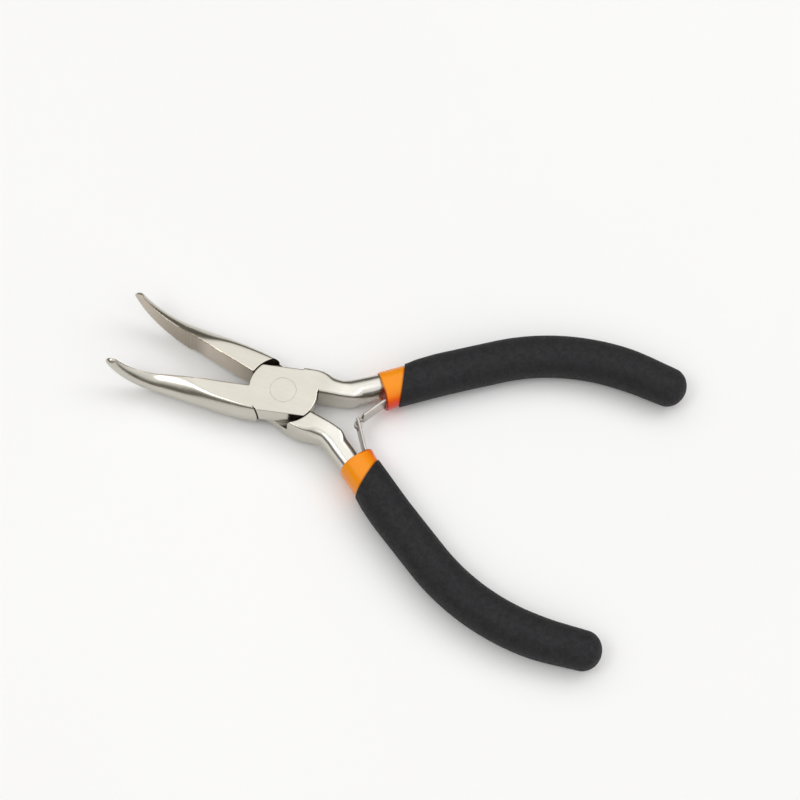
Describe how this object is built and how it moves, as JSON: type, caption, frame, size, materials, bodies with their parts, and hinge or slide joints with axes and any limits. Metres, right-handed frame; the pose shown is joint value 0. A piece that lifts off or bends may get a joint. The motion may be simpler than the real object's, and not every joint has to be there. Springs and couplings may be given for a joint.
{
  "type": "needle nose pliers",
  "caption": "Small bent-nose gripping pliers with serrated tapered jaws, a flush riveted lap joint, dipped plastic grips and return leaf springs.",
  "frame": {"origin": "on the pivot axis, at the lower face of the joint", "axes": "+Z along the pivot axis, the way the nose is bent; +X towards the grips, midway between them; the nose points to -X"},
  "size_m": [0.1239, 0.0778, 0.0119],
  "materials": {
    "steel": "satin nickel plate over drop-forged steel",
    "spring_steel": "dull spring strip",
    "sleeve_orange": "glossy dipped plastic",
    "grip_black": "matte dipped plastic with a fine pebbled skin"
  },
  "bodies": {
    "left_half": {"lower_jaw_half": "steel", "pivot_rivet": "steel", "sleeve_left": "sleeve_orange", "grip_left": "grip_black", "leaf_foot_left": "spring_steel", "foot_rivet_left": "steel"},
    "right_half": {"upper_jaw_half": "steel", "sleeve_right": "sleeve_orange", "grip_right": "grip_black", "leaf_foot_right": "spring_steel", "foot_rivet_right": "steel"},
    "left_leaf": {"leaf_left": "spring_steel"},
    "right_leaf": {"leaf_right": "spring_steel"}
  },
  "joints": [
    {"name": "jaw_pivot", "type": "hinge", "parent": "left_half", "child": "right_half", "pos_m": [0, 0, 0.00375], "axis": [0, 0, 1], "range_deg": [-3, 25], "stiffness_Nm_per_rad": 0.4},
    {"name": "leaf_left_flex", "type": "hinge", "parent": "left_half", "child": "left_leaf", "pos_m": [0.02159, 0.00607, 0.00375], "axis": [0, 0, 1], "range_deg": [-37, 5]},
    {"name": "leaf_right_flex", "type": "hinge", "parent": "right_half", "child": "right_leaf", "pos_m": [0.02159, -0.00607, 0.00375], "axis": [0, 0, 1], "range_deg": [-5, 37]}
  ],
  "couplings": [
    {"joint": "leaf_left_flex", "follows": "jaw_pivot", "ratio": -1.45},
    {"joint": "leaf_right_flex", "follows": "jaw_pivot", "ratio": 1.45}
  ]
}
